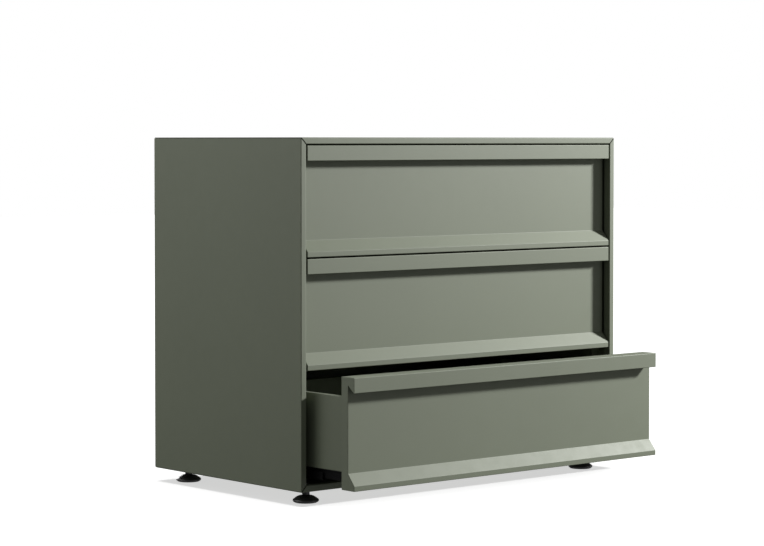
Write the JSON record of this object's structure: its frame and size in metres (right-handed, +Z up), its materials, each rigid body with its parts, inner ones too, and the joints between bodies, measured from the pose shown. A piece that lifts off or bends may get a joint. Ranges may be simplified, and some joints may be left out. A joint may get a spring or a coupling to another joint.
{
  "type": "steel drawer cabinet",
  "caption": "Low sheet-steel drawer cabinet with inset hook-lip fronts, concealed slides and black levelling feet, bottom drawer partly open.",
  "frame": {"origin": "on the floor, under the centre of the whole object's box with its bottom drawer open by 129 mm", "axes": "+X to the right as seen from the front, -Y is the way the drawers open, +Z up"},
  "size_m": [0.8, 0.579, 0.661],
  "materials": {
    "casing_paint": "satin powder coat, olive grey",
    "drawer_paint": "satin powder coat, olive grey",
    "zinc_steel": "zinc plated",
    "black_plastic": "satin moulded black",
    "black_steel": "black electrocoat and black zinc"
  },
  "bodies": {
    "casing": {"bottom_panel": "casing_paint", "top_panel": "casing_paint", "back_panel": "casing_paint", "left_side_panel": "casing_paint", "right_side_panel": "casing_paint", "front_left_upright": "casing_paint", "front_right_upright": "casing_paint", "rear_left_upright": "casing_paint", "rear_right_upright": "casing_paint", "upper_left_cabinet_rail": "black_steel", "upper_right_cabinet_rail": "black_steel", "middle_left_cabinet_rail": "black_steel", "middle_right_cabinet_rail": "black_steel", "lower_left_cabinet_rail": "black_steel", "lower_right_cabinet_rail": "black_steel", "front_left_foot_nut": "zinc_steel", "front_right_foot_nut": "zinc_steel", "rear_left_foot_nut": "zinc_steel", "rear_right_foot_nut": "zinc_steel"},
    "upper_drawer": {"upper_drawer_front": "drawer_paint", "upper_drawer_liner": "drawer_paint", "upper_drawer_floor": "drawer_paint", "upper_drawer_back": "drawer_paint", "upper_drawer_left_side": "drawer_paint", "upper_drawer_right_side": "drawer_paint", "upper_left_drawer_rail": "black_steel", "upper_right_drawer_rail": "black_steel"},
    "upper_left_telescope_rail": {"upper_left_telescope_rail": "black_steel"},
    "upper_right_telescope_rail": {"upper_right_telescope_rail": "black_steel"},
    "middle_drawer": {"middle_drawer_front": "drawer_paint", "middle_drawer_liner": "drawer_paint", "middle_drawer_floor": "drawer_paint", "middle_drawer_back": "drawer_paint", "middle_drawer_left_side": "drawer_paint", "middle_drawer_right_side": "drawer_paint", "middle_left_drawer_rail": "black_steel", "middle_right_drawer_rail": "black_steel"},
    "middle_left_telescope_rail": {"middle_left_telescope_rail": "black_steel"},
    "middle_right_telescope_rail": {"middle_right_telescope_rail": "black_steel"},
    "lower_drawer": {"lower_drawer_front": "drawer_paint", "lower_drawer_liner": "drawer_paint", "lower_drawer_floor": "drawer_paint", "lower_drawer_back": "drawer_paint", "lower_drawer_left_side": "drawer_paint", "lower_drawer_right_side": "drawer_paint", "lower_left_drawer_rail": "black_steel", "lower_right_drawer_rail": "black_steel"},
    "lower_left_telescope_rail": {"lower_left_telescope_rail": "black_steel"},
    "lower_right_telescope_rail": {"lower_right_telescope_rail": "black_steel"},
    "front_left_foot_pad": {"front_left_foot_pad": "black_plastic"},
    "front_left_foot_stem": {"front_left_foot_stem": "black_steel"},
    "front_right_foot_pad": {"front_right_foot_pad": "black_plastic"},
    "front_right_foot_stem": {"front_right_foot_stem": "black_steel"},
    "rear_left_foot_pad": {"rear_left_foot_pad": "black_plastic"},
    "rear_left_foot_stem": {"rear_left_foot_stem": "black_steel"},
    "rear_right_foot_pad": {"rear_right_foot_pad": "black_plastic"},
    "rear_right_foot_stem": {"rear_right_foot_stem": "black_steel"}
  },
  "joints": [
    {"name": "upper_drawer_slide", "type": "slide", "parent": "casing", "child": "upper_drawer", "axis": [0, -1, 0], "range_m": [0, 0.37]},
    {"name": "upper_left_telescope_slide", "type": "slide", "parent": "casing", "child": "upper_left_telescope_rail", "axis": [0, -1, 0], "range_m": [0, 0.185]},
    {"name": "upper_right_telescope_slide", "type": "slide", "parent": "casing", "child": "upper_right_telescope_rail", "axis": [0, -1, 0], "range_m": [0, 0.185]},
    {"name": "middle_drawer_slide", "type": "slide", "parent": "casing", "child": "middle_drawer", "axis": [0, -1, 0], "range_m": [0, 0.37]},
    {"name": "middle_left_telescope_slide", "type": "slide", "parent": "casing", "child": "middle_left_telescope_rail", "axis": [0, -1, 0], "range_m": [0, 0.185]},
    {"name": "middle_right_telescope_slide", "type": "slide", "parent": "casing", "child": "middle_right_telescope_rail", "axis": [0, -1, 0], "range_m": [0, 0.185]},
    {"name": "lower_drawer_slide", "type": "slide", "parent": "casing", "child": "lower_drawer", "axis": [0, -1, 0], "range_m": [-0.129, 0.241]},
    {"name": "lower_left_telescope_slide", "type": "slide", "parent": "casing", "child": "lower_left_telescope_rail", "axis": [0, -1, 0], "range_m": [-0.0645, 0.1205]},
    {"name": "lower_right_telescope_slide", "type": "slide", "parent": "casing", "child": "lower_right_telescope_rail", "axis": [0, -1, 0], "range_m": [-0.0645, 0.1205]},
    {"name": "front_left_foot_height", "type": "slide", "parent": "casing", "child": "front_left_foot_pad", "axis": [0, 0, -1], "range_m": [0, 0.012]},
    {"name": "front_left_foot_turn", "type": "hinge", "parent": "front_left_foot_pad", "child": "front_left_foot_stem", "pos_m": [-0.353, -0.115, 0.02], "axis": [0, 0, 1], "range_deg": [0, 3457]},
    {"name": "front_right_foot_height", "type": "slide", "parent": "casing", "child": "front_right_foot_pad", "axis": [0, 0, -1], "range_m": [0, 0.012]},
    {"name": "front_right_foot_turn", "type": "hinge", "parent": "front_right_foot_pad", "child": "front_right_foot_stem", "pos_m": [0.353, -0.115, 0.02], "axis": [0, 0, 1], "range_deg": [0, 3457]},
    {"name": "rear_left_foot_height", "type": "slide", "parent": "casing", "child": "rear_left_foot_pad", "axis": [0, 0, -1], "range_m": [0, 0.012]},
    {"name": "rear_left_foot_turn", "type": "hinge", "parent": "rear_left_foot_pad", "child": "rear_left_foot_stem", "pos_m": [-0.353, 0.244, 0.02], "axis": [0, 0, 1], "range_deg": [0, 3457]},
    {"name": "rear_right_foot_height", "type": "slide", "parent": "casing", "child": "rear_right_foot_pad", "axis": [0, 0, -1], "range_m": [0, 0.012]},
    {"name": "rear_right_foot_turn", "type": "hinge", "parent": "rear_right_foot_pad", "child": "rear_right_foot_stem", "pos_m": [0.353, 0.244, 0.02], "axis": [0, 0, 1], "range_deg": [0, 3457]}
  ],
  "couplings": [
    {"joint": "upper_left_telescope_slide", "follows": "upper_drawer_slide", "ratio": 0.5},
    {"joint": "upper_right_telescope_slide", "follows": "upper_drawer_slide", "ratio": 0.5},
    {"joint": "middle_left_telescope_slide", "follows": "middle_drawer_slide", "ratio": 0.5},
    {"joint": "middle_right_telescope_slide", "follows": "middle_drawer_slide", "ratio": 0.5},
    {"joint": "lower_left_telescope_slide", "follows": "lower_drawer_slide", "ratio": 0.5},
    {"joint": "lower_right_telescope_slide", "follows": "lower_drawer_slide", "ratio": 0.5},
    {"joint": "front_left_foot_turn", "follows": "front_left_foot_height", "rad_per_m": 5026.5},
    {"joint": "front_right_foot_turn", "follows": "front_right_foot_height", "rad_per_m": 5026.5},
    {"joint": "rear_left_foot_turn", "follows": "rear_left_foot_height", "rad_per_m": 5026.5},
    {"joint": "rear_right_foot_turn", "follows": "rear_right_foot_height", "rad_per_m": 5026.5}
  ]
}
